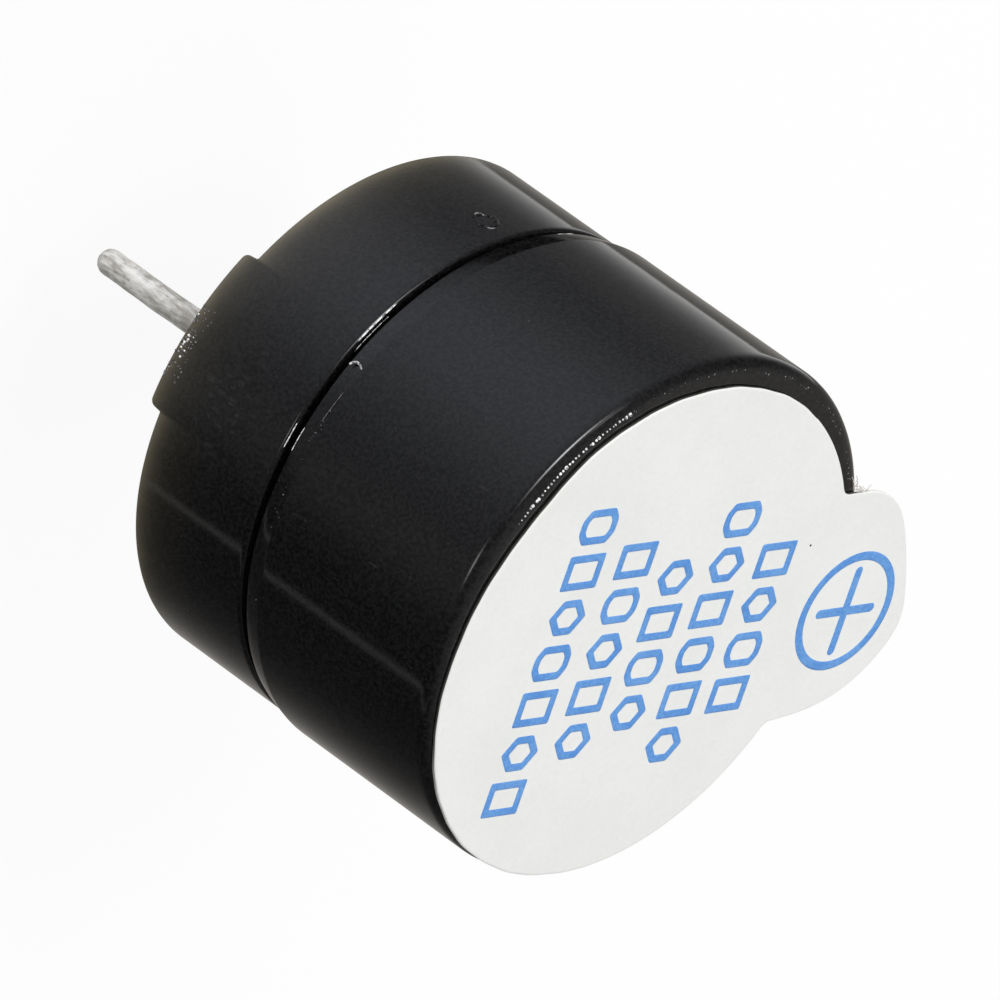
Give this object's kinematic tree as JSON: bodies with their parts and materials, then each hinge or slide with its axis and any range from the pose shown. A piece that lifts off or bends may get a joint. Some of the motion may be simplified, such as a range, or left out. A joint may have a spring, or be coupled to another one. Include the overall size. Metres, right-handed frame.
{
  "type": "active buzzer",
  "caption": "Round through-hole magnetic buzzer with its own drive circuit, black split case, wire pins and a peel-off seal label over the sound hole.",
  "frame": {"origin": "middle of the seating plane, the plane of the two feet on the rear rim, on the line midway between the two pins", "axes": "+Z along the case axis from the pins to the sound hole, +X from the negative pin towards the positive pin, +Y completes a right-handed set"},
  "size_m": [0.014, 0.012, 0.0153],
  "materials": {
    "case_plastic": "black moulded plastic, half gloss",
    "label_film": "white coated label film with blue print",
    "tinned_wire": "dull hot tinned steel wire",
    "resin": "black poured resin",
    "board_laminate": "bare laminate",
    "copper_foil": "copper foil",
    "solder": "bright solder",
    "chip_mould": "black moulded package",
    "tinned_lead": "tinned lead",
    "chip_ceramic": "white ceramic with a dark glaze",
    "iron": "plated soft iron",
    "enamelled_wire": "enamelled copper wire",
    "magnet": "plastic bonded ferrite",
    "spring_steel": "rolled spring steel"
  },
  "bodies": {
    "root": {"front_case": "case_plastic", "rear_case": "case_plastic", "seal_label": "label_film", "positive_pin": "tinned_wire", "negative_pin": "tinned_wire", "sealing_resin": "resin", "circuit_board": "board_laminate", "copper_pads": "copper_foil", "solder_joints": "solder", "transistor_body": "chip_mould", "transistor_leads": "tinned_lead", "resistor_body": "chip_ceramic", "resistor_caps": "tinned_lead", "diode_body": "chip_mould", "diode_leads": "tinned_lead", "yoke_plate": "iron", "iron_core": "iron", "drive_winding": "enamelled_wire", "feedback_winding": "enamelled_wire", "coil_leads": "enamelled_wire", "ring_magnet": "magnet", "diaphragm": "spring_steel", "diaphragm_weight": "iron"}
  },
  "joints": []
}
